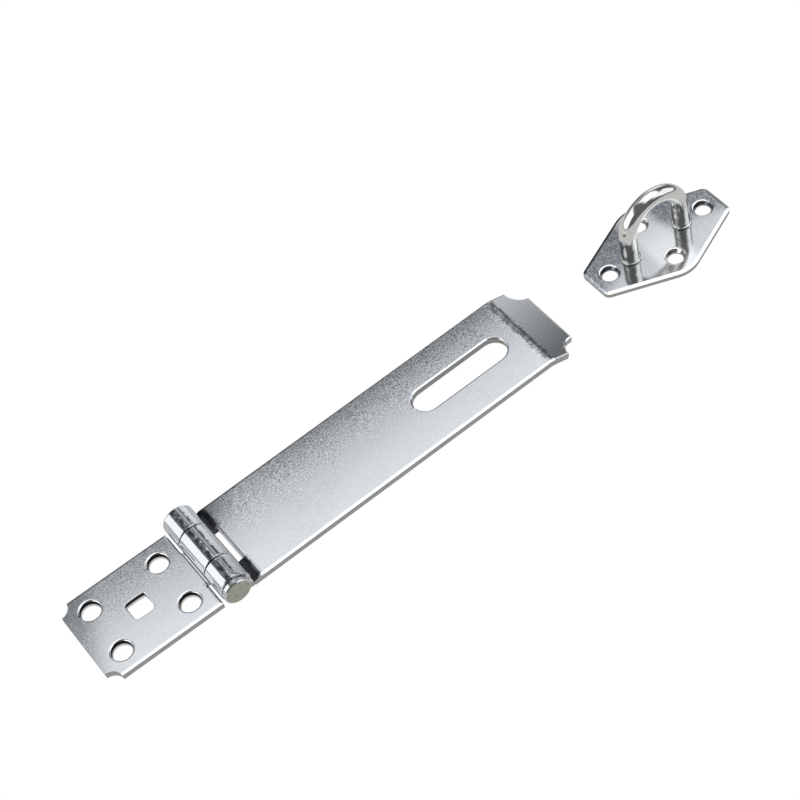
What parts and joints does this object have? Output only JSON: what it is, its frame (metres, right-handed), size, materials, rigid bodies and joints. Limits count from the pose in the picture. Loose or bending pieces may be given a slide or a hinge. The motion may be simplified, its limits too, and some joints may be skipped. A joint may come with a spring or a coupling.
{
  "type": "hasp and staple",
  "caption": "Zinc-plated hasp for a padlock: a slotted strap hinged to a fixed leaf, and a separate staple whose loop comes up through the slot.",
  "frame": {"origin": "middle of the fixed leaf's four screw holes, on the back of the leaf", "axes": "+X from the fixed leaf along the strap to its tip and the staple, +Y across, parallel to the hinge pin, +Z away from the surface that the leaf is screwed to"},
  "size_m": [0.2831, 0.0409, 0.0282],
  "materials": {
    "leaf_zinc": "bright zinc plate on pressed steel sheet",
    "strap_zinc": "bright zinc plate on pressed steel sheet",
    "pin_steel": "dull zinc on a riveted steel pin",
    "plate_zinc": "bright zinc plate on pressed steel sheet",
    "loop_zinc": "bright zinc plate on bent round bar"
  },
  "bodies": {
    "leaf": {"fixed_leaf": "leaf_zinc", "staple_plate": "plate_zinc", "staple_loop": "loop_zinc"},
    "strap": {"hasp_strap": "strap_zinc", "hinge_pin": "pin_steel"}
  },
  "joints": [
    {"name": "strap_hinge", "type": "hinge", "parent": "leaf", "child": "strap", "pos_m": [0.0289, 0, 0.0061], "axis": [0, -1, 0], "range_deg": [-90, 180]}
  ]
}
